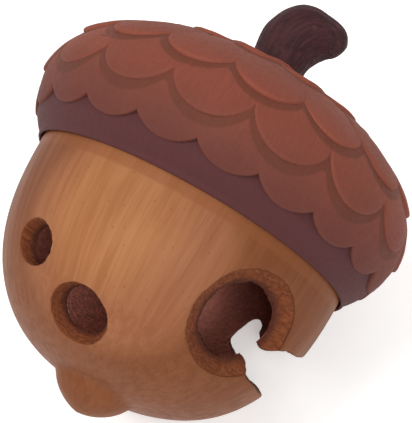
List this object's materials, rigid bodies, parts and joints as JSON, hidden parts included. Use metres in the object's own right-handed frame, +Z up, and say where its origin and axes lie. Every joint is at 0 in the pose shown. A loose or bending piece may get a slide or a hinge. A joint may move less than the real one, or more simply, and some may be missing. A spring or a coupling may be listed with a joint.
{
  "type": "acorn",
  "caption": "Squat acorn lying on its side: a broad scaly cap with a bent stem stub over a hollow nut shell with round bored holes and a broken-out notch.",
  "frame": {"origin": "centre of the footprint, on the ground that the acorn lies on", "axes": "+Z up, +Y from the nut's tip toward the stem, which is held 17 degrees above level, +X to the side that the notch is on"},
  "size_m": [0.03, 0.0338, 0.0289],
  "materials": {
    "nut_shell": "satin tan shell, dark felted inside",
    "cap": "matte overlapping scales, purplish brown under the rim",
    "stem": "matte dark bark"
  },
  "bodies": {
    "root": {"nut_shell": "nut_shell", "cap": "cap", "stem": "stem"}
  },
  "joints": []
}
